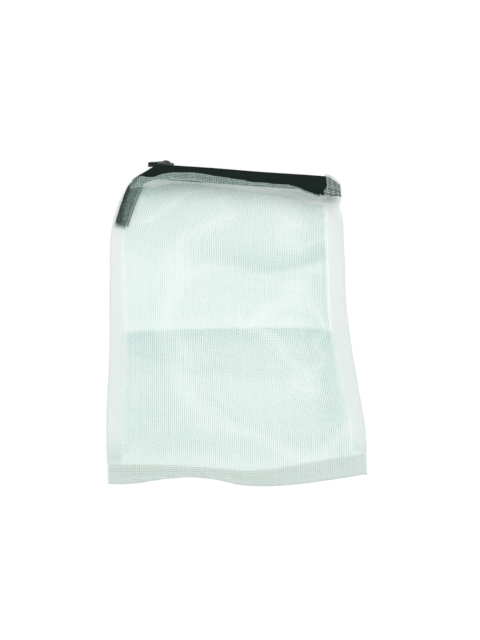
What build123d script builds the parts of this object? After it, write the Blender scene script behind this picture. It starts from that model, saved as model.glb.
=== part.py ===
"""Flat zipped mesh pouch for washing small things, lying on its back panel.

Row frame, millimetres: +X runs along the zip, +Y from the bottom seam to the zip, +Z up from the
surface that the pouch lies on. The origin is the middle of the back panel's underside.
The zip is a nylon coil chain at the fold of the mouth, with its outer face towards +Y.
"""

from build123d import *
import os
from math import asin, ceil, cos, radians, sin, tan

# ---- Driving dimensions -------------------------------------------------------------------------
# Mesh pouch
pouch_width = 158.0            # across the side seams
panel_length = 204.0           # bottom seam to the mouth edge of a panel
mesh_thickness = 0.3           # one layer of mesh
ply_gap = 0.05                 # air between two layers that lie on each other
side_allowance = 14.0          # turned-in edge of a side seam
bottom_allowance = 14.0        # turned-in edge of the bottom seam
hem_width = 7.0                # turned-in edge along the mouth
seam_margin = 2.0              # flat edge outside the panel's loft, where a seam is stitched
panel_rise = 11.0              # how far the front panel stands above its seams at mid length

# Zip tapes
tape_width = 15.0              # one half of the zip, centre line to selvedge
tape_thickness = 0.45
tape_under_coil = 0.8          # how far a tape reaches in under its row of loops
tape_bend = 1.2                # outer radius of the tape's fold beside the slider
tape_exposed = 7.2             # mouth edge of the panel to the plane of the chain
tail_width = 9.5               # folded tape end inside the left seam
tail_length = 20.0             # straight stretch of the tail below its bend

# Coil chain
coil_pitch = 1.5               # from one loop to the next in the same row
coil_wire = 0.62               # a loop's width along the chain
coil_height = 1.6              # off the tape
coil_half_width = 2.2          # centre line to the outside of a row
coil_overlap = 0.45            # how far a loop's head passes the centre line
coil_spine = 0.7               # turned side of the loops, which runs along the row
cord_radius = 0.34             # filler cord inside a row
cord_gap = 0.06
thread_height = 0.12           # chain stitch over a row

# Slider
slider_length = 11.0
slider_plate = 1.0
slider_flange = 0.8
slider_waist = 0.4             # share of its length over which the slider keeps its full width
running_gap = 0.25             # between the slider and what runs through it
wedge_length = 3.0
wedge_half = 0.6
wedge_setback = 0.5            # front end of the slider to the wedge
bridge_length = 7.6
bridge_height = 3.6
bridge_bar = 0.95
bridge_width = 1.8

# Pull tab
pull_width = 4.6
pull_length = 10.5             # pivot to tip
pull_thickness = 1.0
pull_pin_radius = 0.6
pull_corner = 1.2
pull_window = 4.2              # pivot to the far end of the eye
pull_lift = 0.5                # between the pin and the plate under it
pull_play = 0.45               # between the pin and the foot of the bridge

# Where things stand along the zip
slider_parked = -53.0          # left end of the slider with the pouch closed
park_room = 1.5                # between the parked slider and the folding lip
right_cover_length = 15.0      # mesh wrapped round the zip's right end
cover_gap = 0.5                # slider to cover at the end of its travel
lip_split = 0.3                # between the folding lip and the fixed tape beside it
fold_gap = 0.2                 # panel's mouth edge to the lip's fold line

# Stitches
stitch_length = 2.2
stitch_pitch = 3.0
stitch_width = 0.35
stitch_height = 0.2

# ---- Places worked out from them ----------------------------------------------------------------
bottom_y = -panel_length / 2 - 7.0
mouth_y = bottom_y + panel_length
chain_y = mouth_y + tape_exposed
left_x, right_x = -pouch_width / 2, pouch_width / 2

tape_inner_gap = coil_half_width - tape_under_coil            # centre line to a tape's inner edge
coil_spread = wedge_half + coil_overlap + running_gap / 2     # each row, beside the wedge
slider_front_half = coil_half_width + coil_spread + running_gap + slider_flange
slider_rear_half = coil_half_width + running_gap + slider_flange

allowance_z = mesh_thickness + ply_gap
allowance_height = 2 * mesh_thickness
edge_z = allowance_z + allowance_height + ply_gap             # front panel's underside at its seams
back_tape_z = 2 * (mesh_thickness + ply_gap)                  # underside of the back tape
tape_flat_half = slider_front_half + 2 * running_gap
chain_z = back_tape_z + tape_flat_half + tape_bend
front_tape_top = 2 * chain_z - back_tape_z
hem_z = front_tape_top + ply_gap
mouth_rise = hem_z + mesh_thickness + ply_gap - edge_z

tape_arc = radians(90) * (tape_bend - tape_thickness / 2)
tape_straight = tape_width - (tape_flat_half - tape_inner_gap) - tape_arc
tape_selvedge_y = chain_y - tape_bend + tape_thickness / 2 - tape_straight

lip_left = slider_parked + slider_length + park_room
cover_x = right_x - right_cover_length
slider_travel = cover_x - cover_gap - slider_parked - slider_length
lip_right = slider_parked + slider_travel - park_room
zip_left = slider_parked - 1.0
zip_right = right_x - 3.0

slider_x = slider_parked + slider_length / 2
inner_face_y = chain_y - tape_thickness / 2 - running_gap      # inner plate, side towards the tape
outer_face_y = chain_y + tape_thickness / 2 + coil_height + running_gap
outer_top_y = outer_face_y + slider_plate
bridge_x = slider_x + 0.3
pivot_x = bridge_x - bridge_length / 2 + bridge_bar + pull_pin_radius + pull_play
pivot_y = outer_top_y + pull_pin_radius + pull_lift
coil_top_y = chain_y + tape_thickness / 2 + coil_height + thread_height
pull_drop = pivot_y - coil_top_y - pull_thickness / 2 - running_gap
pull_rest = asin(pull_drop / pull_length)                      # it lies on the chain, tip to the left

fold_y = mouth_y + fold_gap
fold_z = front_tape_top - tape_thickness / 2

hem_run = hem_width + 0.5      # level stretch of the front panel, over its hem and tape

# The front panel along the pouch: distance from the bottom seam as a share of panel_length, rise as
# a share of panel_rise, width of the curved shoulder, and how far the left corner is drawn in.
panel_stations = [
    (0.000, 0.01, 30.0, 0.0),
    (0.012, 0.01, 30.0, 0.0),
    (0.080, 0.22, 45.0, 0.0),
    (0.220, 0.72, 55.0, 0.0),
    (0.380, 0.96, 55.0, 0.0),
    (0.470, 0.86, 50.0, 0.0),
    (0.600, 1.00, 45.0, 0.0),
    (0.780, 0.95, 30.0, 0.0),
    (0.870, 1.00, 20.0, 0.0),
    (0.920, 1.03, 14.0, 0.5),
    (1 - hem_run / panel_length, mouth_rise / panel_rise, 11.0, 2.5),
    (1.000, mouth_rise / panel_rise, 11.0, 9.0),
]

os.makedirs("parts", exist_ok=True)


def save(builder, name):
    """Labels a finished sub-part and writes it as parts/NAME.step."""
    builder.part.label = name
    export_step(builder.part, f"parts/{name}.step")


def flat_strip(name, corners, z, height):
    """A flat layer of mesh with the given outline, lying at height z."""
    with BuildPart() as strip:
        with BuildSketch(Plane.XY.offset(z)):
            with BuildLine():
                Polyline(*corners, close=True)
            make_face()
        extrude(amount=height)
    save(strip, name)


def stitch_row(name, start, end, z):
    """A straight row of stitches from start to end, (x, y) points, on a surface at height z."""
    run = Vector(*end) - Vector(*start)
    count = int(run.length // stitch_pitch)
    angle = Vector(1, 0, 0).get_signed_angle(run, Vector(0, 0, 1))
    places = [Vector(*start) + run * ((i + 0.5) / count) for i in range(count)]
    with BuildPart() as row:
        with BuildSketch(Plane.XY.offset(z)):
            with Locations(*[Location((p.X, p.Y, 0), (0, 0, angle)) for p in places]):
                SlotOverall(stitch_length, stitch_width)
        extrude(amount=stitch_height)
    save(row, name)


# ---- Mesh panels --------------------------------------------------------------------------------
def left_edge(y):
    """The pouch's left edge at y, drawn in towards the zip at the top corner."""
    stations = [(bottom_y + s * panel_length, inset) for s, _, _, inset in panel_stations]
    for (y0, inset0), (y1, inset1) in zip(stations, stations[1:]):
        if y <= y1:
            return left_x + inset0 + (inset1 - inset0) * (y - y0) / (y1 - y0)
    return left_x + stations[-1][1]


def shoulder(from_x, to_x, low, high):
    """One side of a panel section: from the seam margin up to the flat top, ending level."""
    span = to_x - from_x
    Bezier(
        (from_x, low),
        (from_x + 0.22 * span, low + 0.50 * (high - low)),
        (from_x + 0.50 * span, high),
        (to_x, high),
    )


def panel_section(y, rise, width, inset):
    """The front panel cut across at y: a thin band that rises from both seams."""
    left, right = left_x + inset, right_x
    with BuildSketch(Plane.XZ.offset(-y)) as section:
        with BuildLine():
            for lift in (0.0, mesh_thickness):
                low, high = edge_z + lift, edge_z + lift + rise
                Line((left, low), (left + seam_margin, low))
                shoulder(left + seam_margin, left + seam_margin + width, low, high)
                Line((left + seam_margin + width, high), (right - seam_margin - width, high))
                shoulder(right - seam_margin, right - seam_margin - width, low, high)
                Line((right - seam_margin, low), (right, low))
            Line((left, edge_z), (left, edge_z + mesh_thickness))
            Line((right, edge_z), (right, edge_z + mesh_thickness))
        make_face()
    return section.sketch


with BuildPart() as front_panel:
    for share, rise, width, inset in panel_stations:
        add(panel_section(bottom_y + share * panel_length, rise * panel_rise, width, inset))
    loft(ruled=True)
save(front_panel, "front_panel")

outline = [(left_edge(bottom_y + s * panel_length), bottom_y + s * panel_length)
           for s, _, _, _ in panel_stations]
flat_strip("back_panel", outline + [(right_x, mouth_y), (right_x, bottom_y)], 0, mesh_thickness)

# Turned-in edges, two layers each, between the panels
seam_top_y = tape_selvedge_y - 2 * ply_gap
seam_low_y = bottom_y + bottom_allowance + ply_gap
left_run = [(x, y) for x, y in outline if seam_low_y < y < seam_top_y]
left_run = [(left_x, seam_low_y)] + left_run + [(left_edge(seam_top_y), seam_top_y)]
flat_strip("left_seam_allowance",
           left_run + [(x + side_allowance, y) for x, y in reversed(left_run)],
           allowance_z, allowance_height)
flat_strip("right_seam_allowance",
           [(right_x - side_allowance, seam_low_y), (right_x, seam_low_y),
            (right_x, seam_top_y), (right_x - side_allowance, seam_top_y)],
           allowance_z, allowance_height)
flat_strip("bottom_seam_allowance",
           [(left_x, bottom_y), (right_x, bottom_y),
            (right_x, bottom_y + bottom_allowance), (left_x, bottom_y + bottom_allowance)],
           allowance_z, allowance_height)

# Turned-in edges along the mouth, between a panel and its tape
hem_left, hem_right = zip_left, cover_x
for name, z in (("front_hem", hem_z), ("back_hem", mesh_thickness + ply_gap)):
    flat_strip(name,
               [(hem_left, mouth_y - hem_width), (hem_right, mouth_y - hem_width),
                (hem_right, mouth_y), (hem_left, mouth_y)],
               z, mesh_thickness)

# ---- Zip tapes ----------------------------------------------------------------------------------
def tape_section(at_x, side, from_y):
    """Half of the zip tape cut across, side +1 above the chain and -1 below, from y = from_y.

    It stands across the mouth where the slider holds it, folds, and runs back to the panel.
    """
    inner = tape_bend - tape_thickness
    mid, far = chain_z + side * tape_flat_half, chain_z + side * (tape_flat_half + tape_bend)
    near = chain_z + side * (tape_flat_half + inner)
    outer_y, inner_y = chain_y + tape_thickness / 2, chain_y - tape_thickness / 2
    bend_y = outer_y - tape_bend
    k = sin(radians(45))
    with BuildSketch(Plane.YZ.offset(at_x)) as section:
        with BuildLine():
            Line((outer_y, chain_z + side * tape_inner_gap), (outer_y, mid))
            ThreePointArc((outer_y, mid), (bend_y + k * tape_bend, mid + side * k * tape_bend),
                          (bend_y, far))
            Line((bend_y, far), (from_y, far))
            Line((from_y, far), (from_y, near))
            Line((from_y, near), (bend_y, near))
            ThreePointArc((bend_y, near), (bend_y + k * inner, mid + side * k * inner),
                          (inner_y, mid))
            Line((inner_y, mid), (inner_y, chain_z + side * tape_inner_gap))
            Line((inner_y, chain_z + side * tape_inner_gap),
                 (outer_y, chain_z + side * tape_inner_gap))
        make_face()
    return section.sketch


def tape_run(side, from_x, to_x, from_y):
    """A straight stretch of one tape between two places along the zip."""
    with BuildPart() as run:
        extrude(tape_section(from_x, side, from_y), amount=to_x - from_x)
    return run


lip_edge_y = fold_y + lip_split
save(tape_run(1, lip_left, lip_right, lip_edge_y), "front_zip_tape")
save(tape_run(1, zip_left, lip_left - lip_split, lip_edge_y),
     "front_tape_left_end")
save(tape_run(1, lip_right + lip_split, zip_right, lip_edge_y),
     "front_tape_right_end")

# The sewn selvedge of the front tape, under the hem, stays with the pouch when the lip folds
flat_strip("front_tape_selvedge",
           [(zip_left, tape_selvedge_y), (cover_x, tape_selvedge_y),
            (cover_x, mouth_y - ply_gap), (zip_left, mouth_y - ply_gap)],
           front_tape_top - tape_thickness, tape_thickness)

with BuildPart() as back_zip_tape:
    extrude(tape_section(zip_left, -1, tape_selvedge_y), amount=cover_x - zip_left)
    extrude(tape_section(cover_x, -1, mouth_y + ply_gap), amount=zip_right - cover_x)
save(back_zip_tape, "back_zip_tape")


# ---- Tape tail: the cut end of the zip, turned down inside the left seam, on its allowance --------
tail_end_y = mouth_y - 19.0 - tail_length
tail_path = [                                          # centre x, y, height over the end, heading
    (zip_left - lip_split, chain_y - tail_width / 2, 1.00, 180.0),
    (zip_left - 7.5, chain_y - tail_width / 2 - 3.5, 0.55, 205.0),
    (left_x + 15.5, mouth_y - 10.5, 0.12, 240.0),
    (left_x + 11.8, mouth_y - 18.5, 0.00, 252.0),
    (left_x + 9.0, tail_end_y, 0.00, 262.0),
]


def tail_layer(first_z, last_z):
    """One layer of the tail: a band of tape along tail_path, from height first_z to last_z."""
    with BuildPart() as layer:
        for x, y, height, heading in tail_path:
            a = radians(heading)
            centre = Vector(x, y, last_z + height * (first_z - last_z))
            with BuildSketch(Plane(centre, x_dir=(-sin(a), cos(a), 0), z_dir=(cos(a), sin(a), 0))):
                Rectangle(tail_width, tape_thickness)
        loft(ruled=True)
    return layer


half_tape = tape_thickness / 2
save(tail_layer(chain_z - tape_inner_gap - half_tape, edge_z + half_tape), "back_tape_tail")
save(tail_layer(chain_z + tape_inner_gap + half_tape, edge_z + 3 * half_tape + ply_gap),
     "front_tape_tail")


# ---- Coil chain ---------------------------------------------------------------------------------
coil_base_y = chain_y + tape_thickness / 2
coil_cord_y = coil_base_y + coil_height / 2
coil_cord_z = coil_half_width - coil_spine - cord_radius - cord_gap
wedge_x = slider_parked + wedge_setback + wedge_length / 2      # middle of the slider's wedge
meshed_x = wedge_x + wedge_length / 2 + coil_pitch / 2           # the rows mesh right of this


def coil_row(side, from_x, to_x, spread=0.0):
    """A stretch of one row of loops: a spine with a loop every pitch, and the cord's tunnel."""
    phase = 0.0 if side > 0 else coil_pitch / 2
    first = ceil((from_x + coil_wire - phase) / coil_pitch)
    loops = []
    while (first + len(loops)) * coil_pitch + phase < to_x - coil_wire:
        loops.append((first + len(loops)) * coil_pitch + phase)
    outside = coil_half_width + spread
    head = spread - coil_overlap
    with BuildPart() as row:
        with BuildSketch(Plane.XZ.offset(-coil_base_y)):
            with Locations(((from_x + to_x) / 2, chain_z + side * (outside - coil_spine / 2))):
                Rectangle(to_x - from_x, coil_spine)
            with Locations(*[(x, chain_z + side * (outside + head) / 2) for x in loops]):
                Rectangle(coil_wire, outside - head)
        extrude(amount=-coil_height)
        with BuildSketch(Plane.YZ.offset(from_x)):
            with Locations((coil_cord_y, chain_z + side * (coil_cord_z + spread))):
                Circle(cord_radius + cord_gap)
        extrude(amount=to_x - from_x, mode=Mode.SUBTRACT)
    return row


def cord_run(side, from_x, to_x):
    """A stretch of the filler cord that lies inside a row of loops."""
    with BuildPart() as cord:
        with BuildSketch(Plane.YZ.offset(from_x)):
            with Locations((coil_cord_y, chain_z + side * coil_cord_z)):
                Circle(cord_radius)
        extrude(amount=to_x - from_x)
    return cord


def coil_thread(side, from_x, to_x):
    """The chain stitch that holds a row to its tape: one short stitch over each loop."""
    count = int((to_x - from_x) // coil_pitch)
    with BuildPart() as thread:
        with BuildSketch(Plane.XZ.offset(-coil_base_y - coil_height)):
            with Locations(((from_x + to_x) / 2, chain_z + side * coil_cord_z)):
                with GridLocations(coil_pitch, 1, count, 1):
                    SlotOverall(coil_pitch * 0.8, coil_wire * 0.6)
        extrude(amount=-thread_height)
    return thread


save(coil_row(1, lip_left, lip_right), "front_zip_coil")
save(cord_run(1, lip_left, lip_right), "front_coil_cord")
save(coil_thread(1, lip_left, lip_right), "front_coil_stitching")
save(coil_row(1, meshed_x, lip_left - lip_split), "front_coil_left_end")
save(cord_run(1, meshed_x, lip_left - lip_split), "front_cord_left_end")
save(coil_row(1, lip_right + lip_split, zip_right), "front_coil_right_end")
save(cord_run(1, lip_right + lip_split, zip_right), "front_cord_right_end")
save(coil_row(-1, meshed_x, zip_right), "back_zip_coil")
save(cord_run(-1, meshed_x, zip_right), "back_coil_cord")
save(coil_thread(-1, meshed_x, zip_right), "back_coil_stitching")

# Unmeshed loops left of the wedge, spread by it, and the chain's end inside the folded tail
with BuildPart() as spread_coil_ends:
    for side in (1, -1):
        add(coil_row(side, zip_left, wedge_x + wedge_length / 2, coil_spread).part)
save(spread_coil_ends, "spread_coil_ends")


# ---- Right end of the zip, wrapped in mesh --------------------------------------------------------
cover_out_y = coil_top_y + ply_gap
with BuildPart() as right_corner_cover:
    with BuildSketch(Plane.YZ.offset(cover_x)):
        with BuildLine():
            Polyline(
                (mouth_y + ply_gap, hem_z),
                (mouth_y + ply_gap, hem_z + mesh_thickness),
                (cover_out_y + mesh_thickness, hem_z + mesh_thickness),
                (cover_out_y + mesh_thickness, mesh_thickness),
                (mouth_y + ply_gap, mesh_thickness),
                (mouth_y + ply_gap, 2 * mesh_thickness),
                (cover_out_y, 2 * mesh_thickness),
                (cover_out_y, hem_z),
                close=True,
            )
        make_face()
    extrude(amount=right_cover_length)
    with BuildSketch(Plane.YZ.offset(right_x - mesh_thickness)):
        with Locations(((mouth_y + cover_out_y) / 2, hem_z / 2 + mesh_thickness)):
            Rectangle(cover_out_y - mouth_y, hem_z - mesh_thickness)
    extrude(amount=mesh_thickness)
save(right_corner_cover, "right_corner_cover")


# ---- Slider -------------------------------------------------------------------------------------
def slider_section(at_y, inset=0.0, beyond=0.0):
    """The slider cut across at y: wide at its front (left), where the rows part, narrow behind."""
    left, right = slider_parked - beyond, slider_parked + slider_length + beyond
    waist = slider_parked + slider_length * slider_waist
    front, rear = slider_front_half - inset, slider_rear_half - inset
    with BuildSketch(Plane.XZ.offset(-at_y)) as section:
        with BuildLine():
            Polyline(
                (left, chain_z - front), (waist, chain_z - front), (right, chain_z - rear),
                (right, chain_z + rear), (waist, chain_z + front), (left, chain_z + front),
                close=True,
            )
        make_face()
    return section.sketch


room_under_pull = pull_pin_radius + pull_lift - pull_thickness / 2 / cos(pull_rest) - running_gap
nose_run = pivot_x - slider_parked - room_under_pull / tan(pull_rest)

with BuildPart() as slider_body:
    # inner plate, inside the pouch
    extrude(slider_section(inner_face_y), amount=slider_plate)
    # outer plate and its two side flanges, which stop short of the tape
    extrude(slider_section(outer_top_y), amount=slider_plate)
    flanges = slider_section(outer_face_y) - slider_section(outer_face_y, slider_flange, 1.0)
    extrude(flanges, amount=coil_height)
    # wedge that joins the plates and parts the rows
    with BuildSketch(Plane.XZ.offset(-outer_face_y)):
        with Locations((wedge_x, chain_z)):
            Ellipse(wedge_length / 2, wedge_half)
    extrude(amount=outer_face_y - inner_face_y)
    # the outer plate's nose slopes down under the pull
    with BuildSketch(Plane.XY.offset(chain_z - slider_front_half)):
        with BuildLine():
            Polyline(
                (slider_parked, outer_top_y - nose_run * tan(pull_rest)),
                (slider_parked, outer_top_y),
                (slider_parked + nose_run, outer_top_y),
                close=True,
            )
        make_face()
    extrude(amount=2 * slider_front_half, mode=Mode.SUBTRACT)
    # bridge that carries the pull
    with BuildSketch(Plane.XY.offset(chain_z - bridge_width / 2)):
        with Locations((bridge_x, outer_top_y - 0.1)):
            Ellipse(bridge_length / 2, bridge_height + 0.1)
            Ellipse(bridge_length / 2 - bridge_bar, bridge_height + 0.1 - bridge_bar,
                    mode=Mode.SUBTRACT)
        with Locations((bridge_x, outer_top_y - 0.1 - bridge_height)):
            Rectangle(bridge_length + 2, 2 * bridge_height, mode=Mode.SUBTRACT)
    extrude(amount=bridge_width)
save(slider_body, "slider_body")


# ---- Pull tab -----------------------------------------------------------------------------------
pull_plane = Plane(
    (pivot_x, pivot_y, chain_z),
    x_dir=(-cos(pull_rest), -sin(pull_rest), 0),
    z_dir=(-sin(pull_rest), cos(pull_rest), 0),
)
with BuildPart() as pull_tab:
    with BuildSketch(pull_plane.offset(-pull_thickness / 2)):
        with Locations((pull_length / 2, 0)):
            RectangleRounded(pull_length, pull_width, pull_corner)
        Rectangle(2 * pull_window, bridge_width + 2 * running_gap, mode=Mode.SUBTRACT)
    extrude(amount=pull_thickness)
    with Locations((pivot_x, pivot_y, chain_z)):
        Cylinder(pull_pin_radius, pull_width)
save(pull_tab, "pull_tab")


# ---- Stitching ----------------------------------------------------------------------------------
margin_z = edge_z + mesh_thickness + panel_stations[0][1] * panel_rise
stitch_row("bottom_seam_stitching", (left_x + 1, bottom_y + 1), (right_x - 1, bottom_y + 1), margin_z)
seam_stitch_top = bottom_y + 0.78 * panel_length
for name, x in (("left_seam_stitching", left_x + 1), ("right_seam_stitching", right_x - 1)):
    stitch_row(name, (x, bottom_y + 3), (x, seam_stitch_top), edge_z + mesh_thickness)
hem_stitch_y = (tape_selvedge_y + mouth_y) / 2
stitch_row("front_mouth_stitching", (hem_left, hem_stitch_y), (hem_right, hem_stitch_y),
           hem_z + 2 * mesh_thickness + ply_gap)
stitch_row("back_mouth_stitching", (hem_left, hem_stitch_y), (hem_right, hem_stitch_y),
           back_tape_z + tape_thickness)
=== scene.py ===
"""Looks of the flat zipped mesh pouch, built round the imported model. Metres, row frame:
+X runs along the zip, +Y from the bottom seam to the zip, +Z up. Shapes are worked out in
millimetres. Materials, lamps, the lip's blend and the sheets' flat sizes are in metres."""

import bpy
import math
import random
import numpy as np
from mathutils import Matrix, Vector


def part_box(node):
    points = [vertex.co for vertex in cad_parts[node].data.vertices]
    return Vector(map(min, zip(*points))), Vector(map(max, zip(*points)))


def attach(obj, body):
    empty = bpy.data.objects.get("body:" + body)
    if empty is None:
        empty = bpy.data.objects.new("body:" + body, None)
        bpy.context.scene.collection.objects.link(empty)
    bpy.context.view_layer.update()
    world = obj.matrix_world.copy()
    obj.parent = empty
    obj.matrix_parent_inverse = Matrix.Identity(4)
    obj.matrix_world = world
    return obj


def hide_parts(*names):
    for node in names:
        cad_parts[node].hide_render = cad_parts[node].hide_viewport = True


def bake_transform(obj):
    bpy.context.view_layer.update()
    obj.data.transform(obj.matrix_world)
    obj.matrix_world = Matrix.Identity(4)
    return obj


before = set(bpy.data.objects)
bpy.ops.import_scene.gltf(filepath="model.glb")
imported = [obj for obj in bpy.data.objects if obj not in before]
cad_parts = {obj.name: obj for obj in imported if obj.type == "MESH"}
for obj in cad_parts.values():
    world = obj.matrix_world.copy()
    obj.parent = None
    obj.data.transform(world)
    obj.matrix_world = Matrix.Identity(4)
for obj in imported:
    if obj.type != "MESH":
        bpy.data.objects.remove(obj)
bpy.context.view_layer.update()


def mm(*values):
    """Millimetres to metres, as one number or a tuple."""
    return values[0] / 1000 if len(values) == 1 else tuple(v / 1000 for v in values)


def node_box(name):
    """Lowest and highest corner of a CAD node, in millimetres."""
    low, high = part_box(name)
    return [1000 * v for v in low], [1000 * v for v in high]


def curve_through(points):
    """A smooth function through (t, value) points, level beyond its ends."""
    t = np.array([p[0] for p in points], float)
    value = np.array([p[1] for p in points], float)
    slope = np.gradient(value, t)

    def at(where):
        w = np.clip(np.asarray(where, float), t[0], t[-1])
        i = np.clip(np.searchsorted(t, w) - 1, 0, len(t) - 2)
        span = t[i + 1] - t[i]
        s = (w - t[i]) / span
        return ((2 * s**3 - 3 * s**2 + 1) * value[i] + (s**3 - 2 * s**2 + s) * span * slope[i]
                + (3 * s**2 - 2 * s**3) * value[i + 1] + (s**3 - s**2) * span * slope[i + 1])

    return at


def ease(value):
    """Smooth step from 0 to 1."""
    s = np.clip(value, 0, 1)
    return s * s * (3 - 2 * s)


def bump_at(distance, width):
    """A bell of height 1 that dies off over width."""
    return np.exp(-(distance / width) ** 2)


# ---- Camera -------------------------------------------------------------------------------------
def add_camera():
    """Looks down on the pouch from its bottom end, turned a little in the picture."""
    yaw, elevation, roll = math.radians(-23.8), math.radians(66.1), math.radians(24.1)
    aim, distance = Vector(mm(2.2, -3.7, 0)), mm(452)
    back = Vector((math.sin(yaw) * math.cos(elevation), -math.cos(yaw) * math.cos(elevation),
                   math.sin(elevation)))
    level = Vector((0, 0, 1)).cross(back).normalized()
    upright = back.cross(level)
    right = math.cos(roll) * level + math.sin(roll) * upright
    up = -math.sin(roll) * level + math.cos(roll) * upright
    place = Matrix((right, up, back)).transposed().to_4x4()
    place.translation = aim + back * distance
    data = bpy.data.cameras.new("camera")
    data.lens = 39.4
    data.clip_start = 0.01
    camera = bpy.data.objects.new("camera", data)
    camera.matrix_world = place
    bpy.context.scene.collection.objects.link(camera)
    bpy.context.scene.camera = camera


add_camera()


# ---- Node helpers -------------------------------------------------------------------------------
class Nodes:
    """Adds nodes to a tree and joins them, one short call each."""

    def __init__(self, tree):
        self.tree = tree

    def put(self, kind, inputs=None, **settings):
        """A node with its settings; inputs are numbers, colours or other nodes' sockets."""
        made = self.tree.nodes.new("ShaderNode" + kind)
        for key, value in settings.items():
            setattr(made, key, value)
        for key, value in (inputs or {}).items():
            if isinstance(value, bpy.types.NodeSocket):
                self.tree.links.new(value, made.inputs[key])
            else:
                made.inputs[key].default_value = value
        return made

    def math(self, operation, *values, clamp=False):
        made = self.put("Math", dict(enumerate(values)), operation=operation)
        made.use_clamp = clamp
        return made.outputs[0]

    def mix(self, factor, low, high):
        made = self.put("Mix", {0: factor, 6: low, 7: high}, data_type="RGBA")
        return made.outputs[2]

    def noise(self, vector, scale, detail=2.0, roughness=0.5):
        made = self.put("TexNoise", {"Vector": vector, "Scale": scale, "Detail": detail,
                                     "Roughness": roughness})
        return made.outputs["Fac"]

    def uv(self):
        parts = self.put("SeparateXYZ", {0: self.put("UVMap").outputs[0]})
        return parts.outputs[0], parts.outputs[1]


def new_group(name, inputs, outputs):
    """A shader node group with float inputs (name: default) and named outputs."""
    tree = bpy.data.node_groups.new(name, "ShaderNodeTree")
    for key, value in inputs.items():
        socket = tree.interface.new_socket(key, in_out="INPUT", socket_type="NodeSocketFloat")
        socket.default_value = value
    for key in outputs:
        tree.interface.new_socket(key, in_out="OUTPUT", socket_type="NodeSocketFloat")
    given = tree.nodes.new("NodeGroupInput")
    result = tree.nodes.new("NodeGroupOutput")
    return tree, Nodes(tree), given.outputs, result.inputs


def new_material(name):
    """A material with only a Principled shader, and its node helper."""
    made = bpy.data.materials.new(name)
    made.use_nodes = True
    tree = made.node_tree
    shader = next(n for n in tree.nodes if n.type == "BSDF_PRINCIPLED")
    return made, Nodes(tree), shader


# ---- Shared effects -----------------------------------------------------------------------------
net_pitch = 0.00118                                     # metres from one lengthwise thread to the next
front_weft, back_weft = 0.00039, 0.00053                # across; unlike, so that they give no wavy pattern
let_through = 0.8                                       # share of light that passes a net's threads


def make_net_weave():
    """Plain weave of round threads with open holes, laid out along the cloth's own UV in metres."""
    tree, n, given, result = new_group(
        "net_weave",
        {"Warp Pitch": net_pitch, "Weft Pitch": net_pitch, "Thread": 0.085, "Uneven": 0.5,
         "Drift": 0.12, "Painted Shade": 0.0},
        ["Cover", "Height", "Streak"])
    # Painted shade widens the threads where the net should look darker; below 0 it thins them, as painted
    # light
    thread = n.math("MULTIPLY", given["Thread"], n.math("MULTIPLY_ADD", given["Painted Shade"], 0.6, 1.0))
    u, v = n.uv()
    position = n.put("CombineXYZ", {0: u, 1: v}).outputs[0]
    wander = n.math("MULTIPLY", n.math("SUBTRACT", n.noise(position, 45.0), 0.5), given["Drift"])
    masks, heights, streaks = [], [], []
    for own, other, pitch, cross_pitch in ((u, v, "Warp Pitch", "Weft Pitch"),
                                           (v, u, "Weft Pitch", "Warp Pitch")):
        count = n.math("ADD", n.math("DIVIDE", own, given[pitch]), wander)
        crossing = n.math("DIVIDE", other, given[cross_pitch])
        index = n.math("FLOOR", count)
        chance = n.put("TexWhiteNoise", {"W": index}, noise_dimensions="1D").outputs["Value"]
        stretched = n.put("CombineXYZ", {0: n.math("MULTIPLY", own, 900.0),
                                         1: n.math("MULTIPLY", other, 14.0)}).outputs[0]
        slub = n.noise(stretched, 1.0, 1.0)
        streak = n.math("SUBTRACT", n.math("ADD", chance, slub), 1.0)
        width = n.math("MULTIPLY", thread,
                       n.math("ADD", 1.0, n.math("MULTIPLY", streak, given["Uneven"])))
        off = n.math("ABSOLUTE", n.math("SUBTRACT", n.math("FRACT", count), 0.5))
        share = n.math("DIVIDE", off, n.math("MULTIPLY", width, 0.5))
        masks.append(n.math("LESS_THAN", share, 1.0))
        crown = n.math("SUBTRACT", 1.0, n.math("MULTIPLY", share, share), clamp=True)
        wave = n.math("SINE", n.math("MULTIPLY", n.math("ADD", crossing, index), math.pi))
        heights.append(n.math("MULTIPLY", crown, n.math("MULTIPLY_ADD", wave, 0.3, 0.7)))
        streaks.append(streak)
    n.tree.links.new(n.math("MAXIMUM", *masks), result["Cover"])
    n.tree.links.new(n.math("MAXIMUM", *heights), result["Height"])
    n.tree.links.new(n.math("ADD", *streaks), result["Streak"])
    return tree


def make_twill():
    """Close twill of a narrow woven tape: diagonal ribs crossed by its warp."""
    tree, n, given, result = new_group("tape_twill", {"Rib": 0.0009, "Warp": 0.0005},
                                       ["Rib Height", "Speck"])
    u, v = n.uv()
    diagonal = n.math("DIVIDE", n.math("ADD", u, v), given["Rib"])
    rib = n.math("MULTIPLY_ADD", n.math("SINE", n.math("MULTIPLY", diagonal, 2 * math.pi)), 0.5, 0.5)
    warp = n.math("MULTIPLY_ADD", n.math("SINE", n.math("MULTIPLY", n.math(
        "DIVIDE", v, given["Warp"]), 2 * math.pi)), 0.5, 0.5)
    position = n.put("CombineXYZ", {0: u, 1: v}).outputs[0]
    lint = n.noise(position, 2200.0, 3.0, 0.7)
    n.tree.links.new(n.math("MULTIPLY_ADD", rib, 0.6, n.math("MULTIPLY", warp, 0.4)),
                     result["Rib Height"])
    n.tree.links.new(lint, result["Speck"])
    return tree


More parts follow.
